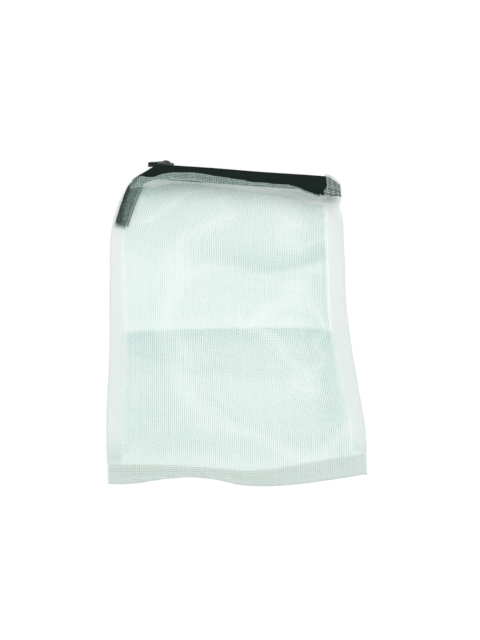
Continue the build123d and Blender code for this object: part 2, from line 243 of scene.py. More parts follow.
def make_rubbed():
    """Patches where a surface has been handled: broad noise broken up by fine scratches."""
    tree, n, given, result = new_group("rubbed_patches", {"Size": 260.0, "Amount": 0.5},
                                       ["Mask", "Fine"])
    place = n.put("TexCoord").outputs["Object"]
    broad = n.noise(place, given["Size"], 4.0, 0.6)
    fine = n.noise(place, 4200.0, 2.0, 0.7)
    summed = n.math("MULTIPLY_ADD", fine, 0.35, broad)
    low = n.math("SUBTRACT", 1.05, n.math("MULTIPLY", given["Amount"], 0.6))
    mask = n.math("MULTIPLY", n.math("SUBTRACT", summed, low), 6.0, clamp=True)
    n.tree.links.new(mask, result["Mask"])
    n.tree.links.new(fine, result["Fine"])
    return tree


net_weave, tape_twill, rubbed = make_net_weave(), make_twill(), make_rubbed()


# ---- Materials ----------------------------------------------------------------------------------
def net_cloth(name, light, dark, thread, uneven=0.5, weft=net_pitch):
    """Fine nylon net: mint-white threads with open holes between them. The threads let part of the
    light through, so they shade what lies behind them only lightly."""
    made, n, shader = new_material(name)
    weave = n.put("Group", node_tree=net_weave)
    weave.inputs["Thread"].default_value = thread
    weave.inputs["Uneven"].default_value = uneven
    weave.inputs["Weft Pitch"].default_value = weft
    # Painted shade: the vertex value darkens the threads' colour towards dark and widens them; below 0 it
    # lightens and thins them, as painted light
    shade_attribute = n.put("Attribute", attribute_name="painted_shade")
    n.tree.links.new(shade_attribute.outputs["Fac"], weave.inputs["Painted Shade"])
    tone_and_shade = n.math("MULTIPLY_ADD", weave.outputs["Streak"], 0.5, 0.6)
    tone_and_shade = n.math("SUBTRACT", tone_and_shade, n.math("MULTIPLY", shade_attribute.outputs["Fac"], 0.42), clamp=True)
    n.tree.links.new(n.mix(tone_and_shade, (*dark, 1), (*light, 1)), shader.inputs["Base Color"])
    path = n.put("LightPath").outputs
    behind = n.math("MAXIMUM", path["Is Shadow Ray"], path["Is Diffuse Ray"])
    dimmed = n.math("SUBTRACT", 1.0, n.math("MULTIPLY", behind, let_through))
    n.tree.links.new(n.math("MULTIPLY", weave.outputs["Cover"], dimmed), shader.inputs["Alpha"])
    bump = n.put("Bump", {"Height": weave.outputs["Height"], "Strength": 0.4, "Distance": 0.0001})
    n.tree.links.new(bump.outputs[0], shader.inputs["Normal"])
    shader.inputs["Roughness"].default_value = 0.55
    shader.inputs["Sheen Weight"].default_value = 0.15
    return made


def woven_tape(name, base, lint):
    """Black-green polyester tape."""
    made, n, shader = new_material(name)
    twill = n.put("Group", node_tree=tape_twill)
    speck = n.math("MULTIPLY", n.math("SUBTRACT", twill.outputs["Speck"], 0.5), 2.2, clamp=True)
    ribbed = n.math("MULTIPLY_ADD", twill.outputs["Rib Height"], 0.35, speck, clamp=True)
    n.tree.links.new(n.mix(ribbed, (*base, 1), (*lint, 1)), shader.inputs["Base Color"])
    bump = n.put("Bump", {"Height": twill.outputs["Rib Height"], "Strength": 0.6,
                          "Distance": 0.0002})
    n.tree.links.new(bump.outputs[0], shader.inputs["Normal"])
    shader.inputs["Roughness"].default_value = 0.9
    shader.inputs["Specular IOR Level"].default_value = 0.18
    shader.inputs["Sheen Weight"].default_value = 0.03
    return made


def coil_nylon():
    """Dark nylon of the zip's rows, dulled in patches."""
    made, n, shader = new_material("coil_nylon")
    wear = n.put("Group", node_tree=rubbed)
    n.tree.links.new(n.mix(wear.outputs["Mask"], (0.004, 0.010, 0.008, 1), (0.016, 0.028, 0.024, 1)),
                     shader.inputs["Base Color"])
    n.tree.links.new(n.math("MULTIPLY_ADD", wear.outputs["Fine"], 0.25, 0.35),
                     shader.inputs["Roughness"])
    shader.inputs["Specular IOR Level"].default_value = 0.3
    return made


def spun_thread(name, dark, light, twist_pitch):
    """Sewing thread with its plies twisted along UV's first axis."""
    made, n, shader = new_material(name)
    u, v = n.uv()
    turn = n.math("ADD", n.math("DIVIDE", u, twist_pitch), v)
    ply = n.math("MULTIPLY_ADD", n.math("SINE", n.math("MULTIPLY", turn, 2 * math.pi)), 0.5, 0.5)
    n.tree.links.new(n.mix(ply, (*dark, 1), (*light, 1)), shader.inputs["Base Color"])
    bump = n.put("Bump", {"Height": ply, "Strength": 0.5, "Distance": 0.0001})
    n.tree.links.new(bump.outputs[0], shader.inputs["Normal"])
    shader.inputs["Roughness"].default_value = 0.7
    return made


def slider_enamel():
    """Dark enamel over die-cast metal, rubbed through in places."""
    made, n, shader = new_material("slider_enamel")
    wear = n.put("Group", node_tree=rubbed)
    wear.inputs["Amount"].default_value = 0.62
    n.tree.links.new(n.mix(wear.outputs["Mask"], (0.010, 0.018, 0.015, 1), (0.16, 0.18, 0.17, 1)),
                     shader.inputs["Base Color"])
    n.tree.links.new(n.math("MULTIPLY_ADD", wear.outputs["Mask"], 0.5, 0.1),
                     shader.inputs["Metallic"])
    n.tree.links.new(n.math("MULTIPLY_ADD", wear.outputs["Fine"], 0.2, 0.22),
                     shader.inputs["Roughness"])
    bump = n.put("Bump", {"Height": wear.outputs["Fine"], "Strength": 0.15, "Distance": 0.0001})
    n.tree.links.new(bump.outputs[0], shader.inputs["Normal"])
    return made


front_net = net_cloth("front_net", (0.68, 0.90, 0.84), (0.42, 0.66, 0.60), 0.12, 0.5, front_weft)
# The back net's mintier colour and denser threads are painted shade: the green-tinted shade on the floor
# beneath the pouch
back_net_painted_shade = net_cloth("back_net_painted_shade", (0.60, 0.88, 0.81), (0.38, 0.64, 0.57), 0.162, 0.7, back_weft)
# The side net's brighter, whiter colour is painted light: the turned edges lit through their thin threads
side_net_painted_light = net_cloth("side_net_painted_light", (0.62, 1.0, 0.94), (0.55, 0.97, 0.90), 0.024)
# The bottom net's darker, greyer colour is painted shade where the bottom edge lies flat over the shaded
# floor
bottom_net_painted_shade = net_cloth("bottom_net_painted_shade", (0.76, 0.79, 0.67), (0.54, 0.59, 0.48), 0.095)
hem_net = net_cloth("hem_net", (0.78, 0.92, 0.88), (0.50, 0.68, 0.63), 0.105, 0.4)
cover_net = net_cloth("cover_net", (0.78, 0.91, 0.87), (0.50, 0.65, 0.60), 0.18, 0.9)
tape = woven_tape("zip_tape", (0.004, 0.011, 0.008), (0.012, 0.028, 0.023))
coil = coil_nylon()
white_thread = spun_thread("white_thread", (0.70, 0.80, 0.76), (0.92, 0.97, 0.94), 0.0006)
dark_thread = spun_thread("dark_thread", (0.01, 0.018, 0.016), (0.04, 0.06, 0.052), 0.0006)
grey_thread = spun_thread("grey_thread", (0.05, 0.08, 0.07), (0.30, 0.36, 0.33), 0.0009)
enamel = slider_enamel()


# ---- Mesh helpers -------------------------------------------------------------------------------
def link_mesh(name, vertices, faces, uvs, material, smooth=True):
    """A mesh object from vertices in millimetres, faces, and a UV in metres for each vertex."""
    mesh = bpy.data.meshes.new(name)
    mesh.from_pydata([tuple(v) for v in np.asarray(vertices, float) / 1000], [], faces)
    layer = mesh.uv_layers.new(name="UVMap")
    corners = np.empty(len(mesh.loops), int)
    mesh.loops.foreach_get("vertex_index", corners)
    layer.data.foreach_set("uv", np.asarray(uvs, float)[corners].ravel())
    mesh.polygons.foreach_set("use_smooth", [smooth] * len(mesh.polygons))
    mesh.materials.append(material)
    mesh.update()
    obj = bpy.data.objects.new(name, mesh)
    bpy.context.scene.collection.objects.link(obj)
    return obj


def grid_faces(rows, columns, wrap=False, offset=0):
    """Quads of a grid of vertices, row by row; wrap joins the last column to the first."""
    faces = []
    for i in range(rows - 1):
        for j in range(columns if wrap else columns - 1):
            k = (j + 1) % columns
            a, b = offset + i * columns + j, offset + i * columns + k
            faces.append((a, b, b + columns, a + columns))
    return faces


def cloth(name, grid, flat, material):
    """A sheet from a (rows, columns, 3) grid of points, with its flat pattern (rows, columns, 2)."""
    rows, columns = grid.shape[:2]
    return link_mesh(name, grid.reshape(-1, 3), grid_faces(rows, columns),
                     flat.reshape(-1, 2) / 1000, material)


def band(name, centre, thickness, flat, material):
    """A closed band of tape from its middle surface, a (rows, columns, 3) grid."""
    rows, columns = centre.shape[:2]
    along, across = np.gradient(centre, axis=0), np.gradient(centre, axis=1)
    normal = np.cross(along, across)
    normal /= np.linalg.norm(normal, axis=2, keepdims=True)
    ring = np.concatenate([centre + normal * thickness / 2,
                           (centre - normal * thickness / 2)[:, ::-1]], axis=1)
    flats = np.concatenate([flat, flat[:, ::-1]], axis=1)
    faces = grid_faces(rows, 2 * columns, wrap=True)
    for start in (0, (rows - 1) * 2 * columns):
        for j in range(columns - 1):
            far = 2 * columns - 1 - j
            quad = (start + j, start + j + 1, start + far - 1, start + far)
            faces.append(quad if start else quad[::-1])
    return link_mesh(name, ring.reshape(-1, 3), faces, flats.reshape(-1, 2) / 1000, material)


def tubes(name, paths, radius, material, sides=6, taper=False):
    """Round threads or wires, each along its own list of points in millimetres."""
    vertices, faces, uvs = [], [], []
    for path in paths:
        path = np.asarray(path, float)
        heading = np.gradient(path, axis=0)
        heading /= np.linalg.norm(heading, axis=1, keepdims=True)
        travelled = np.concatenate([[0], np.cumsum(np.linalg.norm(np.diff(path, axis=0), axis=1))])
        start = len(vertices)
        ref = np.array((0.0, 0.0, 1.0)) if abs(heading[0][2]) < 0.9 else np.array((1.0, 0, 0))
        for i, (point, direction) in enumerate(zip(path, heading)):
            side = np.cross(direction, ref)
            side /= np.linalg.norm(side)
            ref = np.cross(side, direction)
            size = radius
            if taper and i in (0, len(path) - 1):
                size = radius * 0.45
            for k in range(sides):
                angle = 2 * math.pi * k / sides
                vertices.append(point + size * (math.cos(angle) * side + math.sin(angle) * ref))
                uvs.append((travelled[i] / 1000, k / sides))
        faces += grid_faces(len(path), sides, wrap=True, offset=start)
        faces.append(tuple(range(start, start + sides)))
        last = start + (len(path) - 1) * sides
        faces.append(tuple(range(last + sides - 1, last - 1, -1)))
    return link_mesh(name, vertices, faces, uvs, material)


# ---- The pouch's outline and surfaces ------------------------------------------------------------
tape_low, tape_high = node_box("front_zip_tape")
tape_top = tape_high[2]
net_clearance = 0.35                                           # of the net's middle over a tape's top
net_on_tape = tape_top + net_clearance
seam_height = 0.85
panel_width, panel_length = 158, 204                           # finished size of one panel
left_edge = curve_through([(-108, -77.2), (-78, -79.7), (-28, -80.1), (22, -81.9), (62, -81.7),
                           (75, -78.9), (84, -76), (88, -74.1), (91, -72.0), (94, -69.6),
                           (97, -66.5)])
right_edge = curve_through([(-102, 78.5), (-75, 80.1), (-48, 78.1), (-6, 75.3), (13, 75), (42, 76.7),
                            (66, 77.5), (80, 77.9), (90, 76.2)])
bottom_edge = curve_through([(-78, -108.1), (-63, -107.9), (-46, -105.5), (-30, -104.3),
                             (-15, -105.7), (-1, -108.7), (13, -109.5), (29, -108.9), (54, -106),
                             (78, -102.4)])
mouth_edge = curve_through([(-72, 91.5), (-68.5, 93.2), (-64.5, 93.6), (-61, 92.7), (-58, 91.9),
                            (-55.4, 91.5), (-53.4, 92.1), (-51.4, 93.2), (-48, 94.3), (-44.9, 95.2),
                            (-38, 96.1), (-31, 96.7), (-24.6, 96.5), (-14.5, 95.3), (-1, 94.1),
                            (9.5, 92.9), (23, 92.4), (37, 92), (44, 90.5), (51, 88.2), (60, 85.8),
                            (64, 86.4), (68, 88), (78, 88)])
body_height = curve_through([(-109, 1.6), (-94, 2.4), (-68, 5.6), (-38, 7.4), (-13, 8.4), (12, 7.6),
                             (47, 8.2), (71, 10), (83, 11.8), (91, net_on_tape - 0.1),
                             (97, net_on_tape)])
left_shoulder = curve_through([(-110, 30), (-60, 46), (-10, 44), (40, 36), (75, 24), (90, 20)])
right_shoulder = curve_through([(-110, 30), (-60, 46), (-10, 44), (40, 36), (75, 20), (90, 13)])
valley_foot = curve_through([(-30, 31.9), (-14, 29.5), (2, 27.5), (29, 28.2), (48, 34.3), (61, 40.3)])
lower_fold = curve_through([(-78, -29), (-66, -32), (-48, -38), (-27, -42.4), (-2, -44.4),
                            (22, -45.7), (50, -50), (78, -58)])
# Widths of the two side seams' turned-in edges
right_width = curve_through([(-94, 10), (-58, 11), (-28, 12.5), (-12, 13.6), (16, 13.1), (54, 13.7),
                             (85, 13.6)])
left_width = curve_through([(-96, 9), (-40, 11), (10, 10), (50, 8), (84, 6)])
# Level of the turned tape's top, which the net lies over in the upper left corner
turned_top = curve_through([(-79, 2.8), (-75, 3.4), (-72.4, 4.2), (-70.2, 5.2), (-67.3, 7.0),
                            (-64, 9.1), (-60, 11.0), (-56.5, 12.5), (-54, 13.0)])
slider_way_end = 62.5                                          # x past which the slider never comes
droop_depth, droop_run = 4.2, 13


def droop(x):
    """How far the zip sinks at its right end, past the slider's way, where the pouch lies flatter."""
    return droop_depth * ease((x - slider_way_end) / droop_run)


def crease_line(x):
    """Where the pouch was folded across: y of the crease at x."""
    return -12.3 + 0.042 * x - 0.0003 * x * x + 0.4 * np.sin(x / 21)


def inset_from_sides(x, y):
    """Distance in from the left and the right side seam."""
    return x - left_edge(y), right_edge(y) - x


def front_height(x, y):
    """Height of the front panel over the surface that the pouch lies on."""
    left, right = inset_from_sides(x, y)
    inside = np.minimum(left, right)
    rise = (np.sin(np.pi / 2 * np.clip(left / left_shoulder(y), 0, 1))
            * np.sin(np.pi / 2 * np.clip(right / right_shoulder(y), 0, 1))) ** 0.9
    rise = rise * np.clip((y - bottom_edge(x)) / 7, 0, 1) ** 0.7
    z = seam_height + (body_height(y) - seam_height) * rise
    body = ease(inside / 14)
    free = body * ease((88 - y) / 16) * ease((y + 104) / 18)
    # The crease, with a shallow trough below it
    fold = y - crease_line(x)
    z = z + 0.85 * body * np.exp(-np.abs(fold) / 5.0)
    z = z - 0.9 * free * bump_at(fold + 9, 8)
    # The valley below the mouth, steeper on its near side
    valley = y - valley_foot(x)
    across = ease((x + 34) / 26) * ease((66 - x) / 10)
    near_side, far_side = bump_at(valley - 3, 4), bump_at(valley - 3, 12)
    z = z - 1.7 * free * across * np.where(valley > 0, far_side, near_side)
    z = z + 0.7 * free * across * bump_at(valley + 9, 7)
    # The lower fold, then loose waves over the whole panel
    fold = y - lower_fold(x)
    z = z + 0.8 * free * np.exp(-np.abs(fold) / 4.5) * ease((62 - x) / 30)
    z = z - 0.8 * free * bump_at(fold - 9, 9)
    z = z + 0.35 * free * np.sin(x / 8.5 + 0.03 * y) * np.sin(y / 17 + 0.6)
    # Gathers along the mouth, puckers along the side seams, and the rim of the right turned edge
    near_mouth = ease((y - 52) / 40) * ease((97 - y) / 5) * body
    z = z + 0.32 * near_mouth * np.sin(x / 2.9 + 1.3 * np.sin(x / 17))
    pucker = (bump_at(right - 8, 7) + bump_at(left - 8, 7)) * ease(inside / 3)
    z = z + 0.2 * pucker * np.sin(y / 2.1 + 1.7 * np.sin(y / 13))
    ridge = bump_at(right - 13.2, 1.6) * ease((y + 34) / 30)
    z = z + 0.55 * ridge - droop(x) * ease((y - 62) / 24) * ease(right / 12)
    # Upper left corner: the net lies over the turned tapes
    over_tape = ((turned_top(x) + net_clearance) * ease(left / 1.6 + 0.25) * ease((y - 52) / 8)
                 * ease((-54 - x) / 8))
    return np.maximum(z, over_tape)


def back_height(x, y):
    """Height of the back panel, which lies on the surface."""
    left, right = inset_from_sides(x, y)
    inside = np.clip(np.minimum(np.minimum(left, right), y - bottom_edge(x)), 0, None)
    calm = ease(inside / 20) * ease((y + 106) / 20) * ease((90 - y) / 16)
    ripple = 0.5 + 0.5 * np.sin(x / 14 + 0.05 * y) * np.sin(y / 19)
    fold = bump_at(y - (33 - 0.0035 * (x - 15) ** 2), 5) * ease((x + 50) / 40)
    seam = (seam_height - 0.35) * np.exp(-(inside / 3) ** 2)
    return 0.3 + seam + 0.7 * calm * ripple + 1.2 * calm * fold


def front_painted_shade(x, y):
    """Painted shade on the front net, as how much its threads are drawn closer (above 0, darker) or apart
    (below 0, painted light).
    """
    left, right = inset_from_sides(x, y)
    body = ease((right - 9) / 7) * ease((left - 4) / 8)
    # Painted shade below the crease with painted light just above it; painted shade in the valley below
    # the mouth, along the lower fold, in a band in from the right side, over the lower body and below the
    # hem
    below = crease_line(x) - y
    shade_sum = body * ease(below / 1.2) * (0.5 * np.exp(-(np.clip(below, 0, None) / 9) ** 2)
                                        + 0.65 * np.exp(-(np.clip(below, 0, None) / 40) ** 2))
    shade_sum = shade_sum - 0.25 * body * bump_at(below + 3, 4)
    valley = y - valley_foot(x)
    across = ease((x + 40) / 40) * ease((67 - x) / 9)
    shade_sum = shade_sum + (0.8 * across * ease((valley + 1) / 3)
                     * np.exp(-(np.clip(valley, 0, None) / 20) ** 2))
    low = y - lower_fold(x)
    shade_sum = shade_sum + 0.4 * body * ease((low + 1.5) / 3) * np.exp(-np.abs(low) / 8) * ease((66 - x) / 40)
    shade_sum = shade_sum + 0.5 * bump_at(right - 22, 9) * ease((y + 93) / 40) * ease((92 - y) / 20)
    shade_sum = shade_sum + (0.4 * bump_at(y + 86, 10) + 0.3 * bump_at(y + 70, 14)) * body
    drop = mouth_edge(x) - y
    shade_sum = shade_sum + 0.45 * ease((drop - 5) / 3) * bump_at(drop - 8, 12) * body * ease((40 - x) / 30)
    # A painted dark line just inside the right turned edge, with a painted light line along its inner rim
    line = ease((y + 20) / 16) * ease((86 - y) / 6)
    shade_sum = shade_sum + line * (0.7 * bump_at(right - 16, 1.6) - 0.5 * bump_at(right - 13.3, 1.1))
    # Painted light over the two turned edges, where the threads are drawn apart; the threads lie a little
    # closer over the tail, and painted shade darkens the upper left
    edges = 1 - ease((right - right_width(y) + 1.6) / 2.4) * ease((left - left_width(y) + 1.6) / 2.4)
    over_tail = ease((y - 57) / 3) * ease((13 - left) / 4)
    shade_sum = shade_sum + 0.15 * over_tail + 0.5 * body * ease((y - 22) / 30) * ease((-5 - x) / 40)
    return 0.75 * shade_sum + 0.05 - 1.3 * edges * ease((y + 94) / 14)


def back_painted_shade(x, y):
    """The back panel's painted shade follows the front's along the same folds, seen past the front's
    height.
    """
    followed = front_painted_shade(x, np.minimum(y - 3.4, 84))
    return 0.9 * followed + 0.2 * np.sin(x / 23 + 1) * np.sin(y / 31)


def with_painted_shade(piece, values):
    """Stores the painted shade, as how close the threads lie, as a vertex attribute."""
    layer = piece.data.attributes.new("painted_shade", "FLOAT", "POINT")
    layer.data.foreach_set("value", np.asarray(values, np.float32).ravel())
    return piece


def panel_grid(columns, rows, height):
    """Points of a whole panel and its flat pattern."""
    u = np.linspace(0, 1, columns)[None, :]
    v = np.linspace(0, 1, rows)[:, None]
    level = -106.5 + 201 * v
    x = left_edge(level) + (right_edge(level) - left_edge(level)) * u
    low, high = bottom_edge(x), mouth_edge(x)
    y = low + (high - low) * v
    flat = np.dstack([panel_width * (u - 0.5) + 0 * v, panel_length * v + 0 * u])
    return np.dstack([x, y, height(x, y)]), flat


def sewn(piece, *nodes, slot="mesh"):
    """A piece that rides with the bag and stands for its CAD nodes, which it hides; its slot argument is
    not used.
    """
    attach(piece, "bag")
    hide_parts(*nodes)
    return piece


grid, flat = panel_grid(180, 230, front_height)
front_panel = sewn(cloth("front_net_panel", grid, flat, front_net), "front_panel")
# The front panel carries painted shade along its folds
with_painted_shade(front_panel, front_painted_shade(grid[:, :, 0], grid[:, :, 1]))
grid, flat = panel_grid(110, 140, back_height)
flat = flat + np.array([0.55, 0.4])
# The back panel takes the back net's painted shade colour
back_panel = sewn(cloth("back_net_panel", grid, flat, back_net_painted_shade), "back_panel")
# The back panel carries the same painted shade
with_painted_shade(back_panel, back_painted_shade(grid[:, :, 0], grid[:, :, 1]))


def turned_edge(name, side, width, low, high, share):
    """A side seam's turned-in edge: two layers joined at the seam, between the panels."""
    y = np.linspace(low, high, 130)[:, None]
    layers = []
    for level, spread in ((0.0, np.linspace(1, 0, 9)), (1.0, np.linspace(0, 1, 9)[1:])):
        inset = spread[None, :] * (width(y) - 0.4 * level)
        x = (right_edge(y) if side > 0 else left_edge(y)) - side * (inset + 0.1)
        under, over = back_height(x, y), front_height(x, y)
        z = under + (over - under) * (share(y) + 0.12 * level * ease(inset / 2))
        layers.append(np.dstack([x, y + 0 * x, z]))
    grid = np.concatenate(layers, axis=1)
    # The turned edges take the side net's painted light colour
    return cloth(name, grid, grid[:, :, :2] * np.array([side, 1.0]), side_net_painted_light)


right_turn = turned_edge("right_turned_edge", 1, right_width, -88.4, 87.6, lambda y: 0.72 + 0 * y)
left_turn = turned_edge("left_turned_edge", -1, left_width, -95.6, 84,
                        lambda y: 0.6 - 0.5 * ease((y - 30) / 22))
sewn(right_turn, "right_seam_allowance")
sewn(left_turn, "left_seam_allowance")

# Bottom seam's turned-up edge: two layers joined at the seam
bottom_inner = curve_through([(-79, -96.1), (-37, -97.2), (11, -99.7), (42, -95.1), (78, -88.7)])
u = np.linspace(0, 1, 140)[None, :]
v = np.linspace(0, 1, 10)[:, None]
x = -77.2 + 155.4 * u + 0 * v
layers = []
for level in (0, 1):
    share = v if level else 1 - v
    y = bottom_edge(x) + 0.1 + (bottom_inner(x) - bottom_edge(x) - 0.5 * level) * share
    under, over = back_height(x, y), front_height(x, y)
    z = under + (over - under) * (0.45 + 0.25 * level)
    layers.append(np.dstack([x, y, z])[level:])
grid = np.concatenate(layers, axis=0)
# The bottom edge takes the bottom net's painted shade colour
bottom_turn = sewn(cloth("bottom_turned_edge", grid, grid[:, :, :2], bottom_net_painted_shade),
                   "bottom_seam_allowance")
# Painted shade on the bottom edge's left part, turning to painted light towards its right end
with_painted_shade(bottom_turn, 0.6 - 1.4 * ease((grid[:, :, 0] + 30) / 90))

# Hems along the mouth: the panel's edge turned under, over the tape
hem_depth = curve_through([(-72, 6.0), (-65, 8.6), (-58, 6.8), (-53, 4.8), (-45, 5.4), (-37, 6),
                           (10, 6), (32, 4.6), (48, 2.6), (62, 2.4)])
back_hem_depth = 6
hem_pattern_start = np.array([7.7, 0.6])                       # sets its weave off from the panel's
v = np.linspace(0, 1, 10)[:, None]
x = -71.2 + 133.4 * u + 0 * v
y = mouth_edge(x) - hem_depth(x) * (1 - v)
grid = np.dstack([x, y, front_height(x, y) + 0.14])
front_hem = sewn(cloth("front_hem_fold", grid, grid[:, :, :2] + hem_pattern_start, hem_net),
                 "front_hem")
back_mouth = curve_through([(-73, 88), (-54, 91), (-40, 96.4), (30, 96.8), (64, 94)])
x = -71 + 134.6 * u + 0 * v
y = back_mouth(x) - back_hem_depth * (1 - v)
grid = np.dstack([x, y, 0.22 + 0.5 * ease((-62 - x) / 9)])
back_hem = sewn(cloth("back_hem_fold", grid, grid[:, :, :2], hem_net), "back_hem")

# ---- Zip tapes ----------------------------------------------------------------------------------
back_tape_low, back_tape_high = node_box("back_zip_tape")
chain_low, chain_high = node_box("back_zip_coil")
slider_low, slider_high = node_box("slider_body")
chain_z = (tape_top + back_tape_low[2]) / 2
tape_thickness = 0.45
bend_radius = 1.2 - tape_thickness / 2
tape_y = tape_high[1] - tape_thickness / 2                  # plane in which the tape meets its coil
fold_y = tape_low[1]
front_level, back_level = tape_top - tape_thickness / 2, back_tape_low[2] + tape_thickness / 2
front_coil_edge = tape_low[2]
back_coil_edge = 2 * chain_z - front_coil_edge
back_tape_inner = 97.5
zip_left, zip_right = back_tape_low[0], back_tape_high[0]
lip_middle = 5.0
lip_start, lip_end = mm(tape_low[0] - 1), mm(tape_high[0] + 1)
cover_start, cover_end = 60.8, 77.8
bow_start, bow_reach = 66.5, 12.0                           # where the zip's end bows down, and its run
bow_in, bow_down = 3.2, 5.6                                 # how far its end draws in and sinks
back_droop = 0.45                                           # share of the droop that the back half takes


def lip_left(piece):
    """Bakes the left half of the front lip into place; that half is sewn down at the slider and free
    towards the middle.
    """
    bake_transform(piece)


def lip_right(piece):
    """Bakes the right half of the front lip into place; that half is free at the middle and sewn down at
    the corner.
    """
    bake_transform(piece)


def parted(x):
    """How far each tape and row stands off the chain's line left of the slider's wedge."""
    return 1.05 * ease((slider_low[0] + 4.4 - x) / 4)


def cover_round(x):
    """Share of the full height that is left where the zip's end bows down to the side seam."""
    return np.sqrt(np.clip(1 - (np.clip(x - bow_start, 0, None) / bow_reach) ** 2, 0, 1))


# The tapes' way left of the zip: round the corner and down inside the left seam. One line a station:
# outer side's x, y; inner side's x, y; level of the front tape and of its outer edge; the back's two
turn_stations = np.array([
    (-54.0, 101.3, -54.0, 89.8, 12.7, 8.9, 0.92, 4.3),
    (-56.5, 99.8, -56.2, 89.5, 12.1, 8.2, 0.95, 4.0),
    (-60.0, 97.8, -58.6, 89.2, 10.6, 7.0, 1.00, 3.6),
    (-64.0, 95.9, -60.9, 88.9, 8.7, 5.8, 1.05, 3.1),
    (-67.3, 94.0, -62.6, 88.6, 6.6, 4.6, 1.12, 2.6),
    (-70.2, 91.4, -63.8, 87.9, 4.9, 3.6, 1.20, 2.2),
    (-72.4, 88.4, -65.0, 86.3, 3.9, 3.0, 1.30, 1.9),
    (-74.6, 82.0, -66.9, 81.3, 3.2, 2.6, 1.40, 1.7),
    (-76.3, 75.0, -68.8, 74.6, 2.9, 2.4, 1.45, 1.6),
    (-77.6, 69.5, -70.4, 69.0, 2.7, 2.3, 1.45, 1.6),
    (-78.6, 65.0, -71.8, 63.6, 2.6, 2.2, 1.45, 1.6),
    (-79.2, 61.5, -73.0, 58.9, 2.5, 2.1, 1.45, 1.6)])
along_turn = np.linspace(0, len(turn_stations) - 1, 60)
turn = np.column_stack([curve_through(list(enumerate(column)))(along_turn)
                        for column in turn_stations.T])[::-1]


def cover_near(x):
    """Near edge of the corner cover, rounded off towards the side seam."""
    return 85.4 + 4.4 * ease((x - 66) / 10)


def tape_section(inner, outer, level, edge, sag=0.0):
    """Middle line across a tape: level from its inner side, then bent over to its outer edge."""
    inner, outer = np.asarray(inner, float), np.asarray(outer, float)
    width = np.linalg.norm(outer - inner)
    drop = edge - level
    radius = min(bend_radius, 0.9 * abs(drop))
    angle = np.linspace(0, math.pi / 2, 6)[1:]
    across = np.concatenate([np.linspace(0, width - radius, 8),
                             width - radius + radius * np.sin(angle), np.full(4, width)])
    bent = np.concatenate([np.zeros(8), radius * (1 - np.cos(angle)),
                           np.linspace(radius, abs(drop), 5)[1:]])
    line = inner + (outer - inner) / width * across[:, None]
    slack = sag * np.sin(np.linspace(0, math.pi, len(across)))
    return np.column_stack([line, level + math.copysign(1, drop) * bent - slack])


def tape_run(name, stations):
    """A tape through (inner, outer, level, edge, sag) stations, with its flat pattern from its lengths."""
    centre = np.array([tape_section(*s) for s in stations])
    steps = np.linalg.norm(np.diff(centre[:, 6], axis=0), axis=1)
    along = np.concatenate([[0], np.cumsum(steps)])
    across = np.concatenate([[0], np.cumsum(np.linalg.norm(np.diff(centre[0], axis=0), axis=1))])
    flat = np.dstack(np.broadcast_arrays(along[:, None], across[None, :]))
    return band(name, centre, tape_thickness, flat, tape)


def tape_inner(x):
    """Where the front tape's selvedge lies under the hem."""
    return np.minimum(mouth_edge(x) - 0.8, 92.0 - 2.2 * ease((-38 - x) / 16))


def straight_station(x, front):
    """A tape's station where the zip runs straight, with its end bowed down under the cover."""
    left = float(parted(x))
    sink, low = float(cover_round(x)), float(droop(x))
    outer_y = tape_y - bow_in * (1 - sink)
    if front:
        inner_y = fold_y - (fold_y - float(tape_inner(x))) * float(ease((-42.4 - x) / 2))
        if x > lip_end * 1000:
            inner_y = fold_y - (fold_y - cover_near(x) - 0.9) * float(ease((x - 52.5) / 8))
        slack = (0.22 + 0.22 * math.sin(x / 11)) * float(ease((x + 50) / 10))
        level = back_level + (front_level - low - back_level) * sink - 0.5 * (1 - sink)
        edge = min(front_coil_edge + left - low, level - 0.3)
        return (x, inner_y), (x, outer_y), level, edge, slack
    edge = back_coil_edge - left - back_droop * low
    return (x, back_tape_inner), (x, outer_y), back_level, edge, 0.0


def turn_station(row, front):
    """A station of the turned part; the back tape starts narrower and widens down the tail."""
    outer, inner = row[:2], row[2:4]
    if front:
        return inner, outer, row[4], row[5], 0.0
    share = 0.33 + 0.67 * float(ease((90 - row[1]) / 10))
    return outer + (inner - outer) * share, outer, row[6], row[7], 0.0


tape_end = zip_right + 0.2
rows_end = tape_end - 4
left_x = np.arange(zip_left + 1.2, lip_middle + 0.1, 1.2)
left_x[-1] = lip_middle
right_x = np.linspace(lip_middle, tape_end, 62)
front_tape_left = tape_run("front_tape_left_run", [turn_station(row, True) for row in turn]
                           + [straight_station(x, True) for x in left_x])
front_tape_right = tape_run("front_tape_right_run", [straight_station(x, True) for x in right_x])
back_tape = tape_run("back_tape_run", [turn_station(row, False) for row in turn]
                     + [straight_station(x, False) for x in np.concatenate([left_x, right_x[1:]])])
lip_left(front_tape_left)
lip_right(front_tape_right)
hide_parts("front_tape_left_end", "front_tape_tail", "front_zip_tape")
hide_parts("front_tape_right_end", "front_zip_tape")
sewn(back_tape, "back_zip_tape", "back_tape_tail", slot="zip_tape")

# Selvedge of the front tape, sewn under the hem
u = np.linspace(0, 1, 90)[:, None]
v = np.linspace(0, 1, 6)[None, :]
x = -44.0 + 102.5 * u + 0 * v
inner = tape_inner(x)
y = inner + (fold_y - 0.1 - inner) * v
level = np.minimum(front_level - droop(x), front_height(x, y) - 0.55)
selvedge = band("front_tape_selvedge_run", np.dstack([x, y, level]), tape_thickness,
                np.dstack([x, y]), tape)
sewn(selvedge, "front_tape_selvedge", slot="zip_tape")

